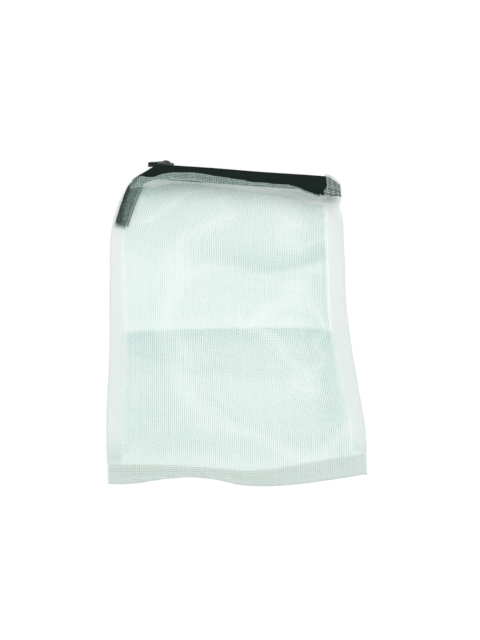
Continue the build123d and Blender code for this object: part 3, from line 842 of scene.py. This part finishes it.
# ---- Coil rows, their cords and the stitching that holds them ------------------------------------
pitch = 1.5
wire = 0.29                                                    # radius of the rows' nylon
cord_radius = 0.42
head_reach, back_reach = 0.45, 2.2                             # of a row past the chain's line, each way
row_middle, row_reach = (back_reach - head_reach) / 2, (back_reach + head_reach) / 2 - wire
coil_mid_y = (chain_low[1] + chain_high[1]) / 2
coil_depth = (chain_high[1] - chain_low[1]) / 2 - wire


def row_line(side, start, end, step=0.4):
    """Middle line of a coil row: side +1 for the front row and -1 for the back one."""
    x = np.arange(start, end, step)
    x[-1] = end
    bow = cover_round(x)
    low = droop(x) * (1 if side > 0 else back_droop)
    z = chain_z + side * (row_middle + parted(x)) - low - (bow_down - 0.8 * low) * (1 - bow)
    return np.column_stack([x, coil_mid_y - bow_in * (1 - bow) + 0 * x, z])


def turned_line(side, stop=25):
    """The row's line round the corner, on from the zip's left end, to where the seam cuts it."""
    rows = turn[::-1][:stop]
    outward = np.gradient(rows[:, :2], axis=0)
    outward = np.column_stack([outward[:, 1], -outward[:, 0]])
    outward /= np.linalg.norm(outward, axis=1, keepdims=True)
    if outward[0][1] < 0:
        outward = -outward
    edge = rows[:, 5] if side > 0 else rows[:, 7]
    shift = row_line(side, zip_left, zip_left + 1)[0][2] - edge[0]
    place = rows[:, :2] + outward * (coil_mid_y - tape_y) * 0.6
    return np.column_stack([place, edge + shift * np.linspace(1, 0.35, len(rows))])[::-1]


def evenly(line, step):
    """The same line with its points step apart."""
    travelled = np.concatenate([[0], np.cumsum(np.linalg.norm(np.diff(line, axis=0), axis=1))])
    where = np.arange(0, travelled[-1], step)
    return np.column_stack([np.interp(where, travelled, line[:, k]) for k in range(3)]), where


def coil_row(name, line, side, upright=(0, 0, 1), phase=0.0):
    """One helical row wound round a line; upright is the way it reaches across the chain."""
    centre, travelled = evenly(line, pitch / 14)
    heading = np.gradient(centre, axis=0)
    heading /= np.linalg.norm(heading, axis=1, keepdims=True)
    across = np.array(upright, float) - heading * (heading @ np.array(upright, float))[:, None]
    across /= np.linalg.norm(across, axis=1, keepdims=True)
    through = np.cross(across, heading)
    angle = 2 * math.pi * (travelled / pitch + phase)
    path = (centre + side * row_reach * np.cos(angle)[:, None] * across
            + coil_depth * np.sin(angle)[:, None] * through)
    return tubes(name, [path], wire, coil, sides=7)


def stitches(name, line, length, gap, radius, material, lift=(0, 0, 0), dip=0.0):
    """A row of separate stitches along a line, each a thread that dips into the cloth at its ends."""
    centre, travelled = evenly(np.asarray(line, float) + np.array(lift), 0.1)
    count = int(travelled[-1] / (length + gap))
    paths = []
    for i in range(count):
        first = int(i * (length + gap) / 0.1)
        piece = centre[first:first + int(length / 0.1)][::3]
        if len(piece) > 2:
            arch = np.sin(np.linspace(0, math.pi, len(piece)))[:, None]
            paths.append(piece + (arch - 1) * np.array([0, 0, dip]))
    return tubes(name, paths, radius, material, sides=6, taper=True)


whole = {side: np.vstack([turned_line(side), row_line(side, zip_left + 0.6, rows_end)])
         for side in (1, -1)}
left_part = whole[1][whole[1][:, 0] <= lip_middle]
right_part = whole[1][whole[1][:, 0] >= lip_middle - 0.2]
left_turns = evenly(left_part, pitch / 14)[1][-1] / pitch
coil_front_left = coil_row("front_coil_left_run", left_part, 1)
coil_front_right = coil_row("front_coil_right_run", right_part, 1, phase=left_turns)
coil_back = coil_row("back_coil_run", whole[-1], -1, phase=0.5)
lip_left(coil_front_left)
lip_right(coil_front_right)
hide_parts("front_coil_left_end", "front_zip_coil", "spread_coil_ends")
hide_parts("front_coil_right_end", "front_zip_coil")
sewn(coil_back, "back_zip_coil", "spread_coil_ends", slot="zip_coil")

# Filler cords, which run inside the rows
cord_left = tubes("front_cord_left_run", [evenly(left_part, 1.0)[0]], cord_radius, dark_thread)
cord_right = tubes("front_cord_right_run", [evenly(right_part, 1.0)[0]], cord_radius, dark_thread)
cord_back = sewn(tubes("back_cord_run", [evenly(whole[-1], 1.0)[0]], cord_radius, dark_thread),
                 "back_coil_cord", slot="filler_cord")
lip_left(cord_left)
lip_right(cord_right)
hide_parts("front_coil_cord", "front_cord_left_end")
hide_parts("front_coil_cord", "front_cord_right_end")

# Chain stitching through the rows, on their outer faces
over_rows = (0, chain_high[1] - coil_mid_y + 0.02, 0)
stitched = {side: row_line(side, slider_high[0] - 8, tape_end - 8) for side in (1, -1)}
half = stitched[1][:, 0] <= lip_middle
row_stitch = dict(length=1.15, gap=0.35, radius=0.14, material=dark_thread, lift=over_rows)
stitch_left = stitches("front_coil_stitch_left", stitched[1][half], **row_stitch)
stitch_right = stitches("front_coil_stitch_right", stitched[1][~half], **row_stitch)
stitch_back = sewn(stitches("back_coil_stitch", stitched[-1], **row_stitch),
                   "back_coil_stitching", slot="zip_thread")
lip_left(stitch_left)
lip_right(stitch_right)
for piece in (stitch_left, stitch_right):
    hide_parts("front_coil_stitching")

# The tail's own coil rows, along its inner side between the two tapes, and its frayed cut end
tail = turn[::-1][24:]
tail_line = np.column_stack([tail[:, 2] + 0.75, tail[:, 3] + 0.25, np.full(len(tail), 2.6)])
tail_line[:6, 2] += np.linspace(1.6, 0, 6)
sewn(coil_row("tail_coil_run", tail_line, 1, upright=(1, 0, 0)), "spread_coil_ends", slot="zip_coil")
chance = random.Random(11)
end = tail[-1]
frayed_threads = 46
frayed = []
for i in range(frayed_threads):
    share = (i + 0.5) / frayed_threads
    root = np.array([end[2] + (end[0] - end[2]) * share, end[3] + (end[1] - end[3]) * share,
                     chance.choice((end[4], end[6]))])
    way = np.array([-0.42 + chance.uniform(-0.35, 0.35), -1.0, chance.uniform(-0.15, 0.1)])
    reach = chance.uniform(0.8, 3.0)
    bow = chance.uniform(-0.5, 0.5)
    frayed.append([root - 0.4 * way, root + way * reach * 0.4 + (bow * 0.5, 0, 0),
                   root + way * reach * 0.75 + (bow, 0, 0), root + way * reach + (bow * 0.6, 0, 0)])
sewn(tubes("tail_frayed_end", frayed, 0.075, grey_thread, sides=5, taper=True), "front_tape_tail",
     slot="zip_tape")

# ---- Corner cover: the net folded over the zip's right end ----------------------------------------
u = np.linspace(0, 1, 30)[:, None]
v = np.linspace(0, 1, 46)[None, :]
# Its open edge steps clear of the slider's way
start_x = cover_start + 3.2 * ease((v - 0.05) / 0.15) + 0.25 * np.sin(14 * v)
x = start_x + (cover_end - start_x) * u ** 0.8
bow = cover_round(x)
low = 0.42 + 0.45 * (1 - bow)
high = 0.9 + (tape_top + 0.32 - droop(x) - 0.9) * bow
out = 104.3 - 4.4 * (1 - bow)
corner = 1.7
top_run, side_run = 17.0, 8.6                                  # shares of the profile's length
where = v * (2 * top_run + side_run)
near_edge = cover_near(x)
near = near_edge + (out - corner - near_edge) * np.clip(where / (top_run - 2), 0, 1)
turned = np.clip((where - (top_run - 2)) / (side_run + 4), 0, 1)
back = np.clip((where - (top_run + side_run + 2)) / (top_run - 2), 0, 1)
belly = np.sin(math.pi * turned)
y = near + corner * np.clip(belly * 1.6, 0, 1) ** 0.5 - (out - corner - 88) * back
z = high + (low - high) * (0.5 - 0.5 * np.cos(math.pi * turned))
crumple = 0.16 * np.sin(x / 1.3 + 3 * v) * np.sin(16 * v + x / 2.1)
grid = np.dstack([x, y + 0.3 * crumple, z + crumple * bow * (1 - back)])
pattern = np.dstack([x, where + 0 * x])
cover = sewn(cloth("corner_cover_fold", grid, pattern, cover_net), "right_corner_cover")

# Edge of the back panel's hem that shows past the zip, from its middle to the cover. It lies low, so
# that the slider passes over it
x = np.linspace(8, 64.5, 60)[:, None]
v = np.linspace(0, 1, 5)[None, :]
stand = 5.8 * ease((x - 8) / 50) + 1.0
y = tape_y + 0.3 + stand * v
grid = np.dstack(np.broadcast_arrays(x, y, 1.6 - 0.9 * v + 0.1 * np.sin(x / 4)))
# It takes the side net's painted light colour
lip_edge = sewn(cloth("back_hem_lip", grid, grid[:, :, :2], side_net_painted_light), "back_hem")

# ---- Seam stitching --------------------------------------------------------------------------------
seam_stitch = dict(length=2.1, gap=0.8, radius=0.15, material=white_thread, dip=0.25)
mouth_stitch = dict(length=2.0, gap=0.8, radius=0.16, material=white_thread)
seam_y = np.linspace(-103, 84, 400)
for name, side, node in (("left_seam_stitches", -1, "left_seam_stitching"),
                         ("right_seam_stitches", 1, "right_seam_stitching")):
    edge = right_edge(seam_y) if side > 0 else left_edge(seam_y)
    x = edge - side * 0.9
    line = np.column_stack([x, seam_y, front_height(x, seam_y) + 0.03])
    sewn(stitches(name, line, **seam_stitch), node, slot="seam_thread")
x = np.linspace(-75.5, 78, 400)
line = np.column_stack([x, bottom_edge(x) + 1.0, front_height(x, bottom_edge(x) + 1.0) + 0.03])
sewn(stitches("bottom_seam_stitches", line, **seam_stitch), "bottom_seam_stitching", slot="seam_thread")
x = np.linspace(-70, 62, 400)
y = mouth_edge(x) - hem_depth(x) + 0.5
line = np.column_stack([x, y, front_height(x, y) + 0.26])
sewn(stitches("front_mouth_stitches", line, **mouth_stitch, dip=0.3),
     "front_mouth_stitching", slot="seam_thread")
y = back_mouth(x) - 5.4
line = np.column_stack([x, y, 0 * x + 0.3])
sewn(stitches("back_mouth_stitches", line, **mouth_stitch, dip=-0.1),
     "back_mouth_stitching", slot="seam_thread")


# ---- CAD pieces that keep their shape -------------------------------------------------------------
def dress(node, material, bevel):
    """Gives a CAD node its material and softened edges."""
    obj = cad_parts[node]
    obj.data.materials.clear()
    obj.data.materials.append(material)
    soft = obj.modifiers.new("soft_edges", "BEVEL")
    soft.width = mm(bevel)
    soft.segments = 3
    soft.limit_method = "ANGLE"
    soft.angle_limit = math.radians(35)
    soft.harden_normals = False


dress("slider_body", enamel, 0.22)
dress("pull_tab", enamel, 0.22)


# ---- Stage --------------------------------------------------------------------------------------
def add_stage():
    """White floor, even world light and two large soft lamps."""
    made, n, shader = new_material("studio_floor")
    shader.inputs["Base Color"].default_value = (0.9, 0.9, 0.9, 1)
    shader.inputs["Roughness"].default_value = 0.9
    path = n.put("LightPath").outputs
    seen = n.math("MAXIMUM", n.math("MAXIMUM", path["Is Camera Ray"], path["Is Glossy Ray"]),
                  path["Is Transmission Ray"])
    n.tree.links.new(n.math("MULTIPLY", seen, 0.27), shader.inputs["Emission Strength"])
    shader.inputs["Emission Color"].default_value = (1, 1, 1, 1)
    size = 3000
    floor = link_mesh("floor", [(-size, -size, -0.1), (size, -size, -0.1), (size, size, -0.1),
                                (-size, size, -0.1)], [(0, 1, 2, 3)],
                      [(0, 0), (1, 0), (1, 1), (0, 1)], made, smooth=False)
    world = bpy.data.worlds.new("studio")
    world.use_nodes = True
    sky = next(s for s in world.node_tree.nodes if s.type == "BACKGROUND")
    sky.inputs["Color"].default_value = (1, 1, 1, 1)
    sky.inputs["Strength"].default_value = 0.55
    bpy.context.scene.world = world
    for name, place, power, width in (("key", (0.35, 0.45, 1.2), 6.9, 1.4),
                                      ("fill", (-0.6, -0.3, 1.1), 2.8, 1.2)):
        lamp = bpy.data.lights.new(name, "AREA")
        lamp.energy = power
        lamp.size = width
        obj = bpy.data.objects.new(name, lamp)
        obj.location = place
        obj.rotation_euler = (-Vector(place)).to_track_quat("-Z", "Y").to_euler()
        bpy.context.scene.collection.objects.link(obj)
    bpy.context.scene.view_settings.view_transform = "Standard"


add_stage()
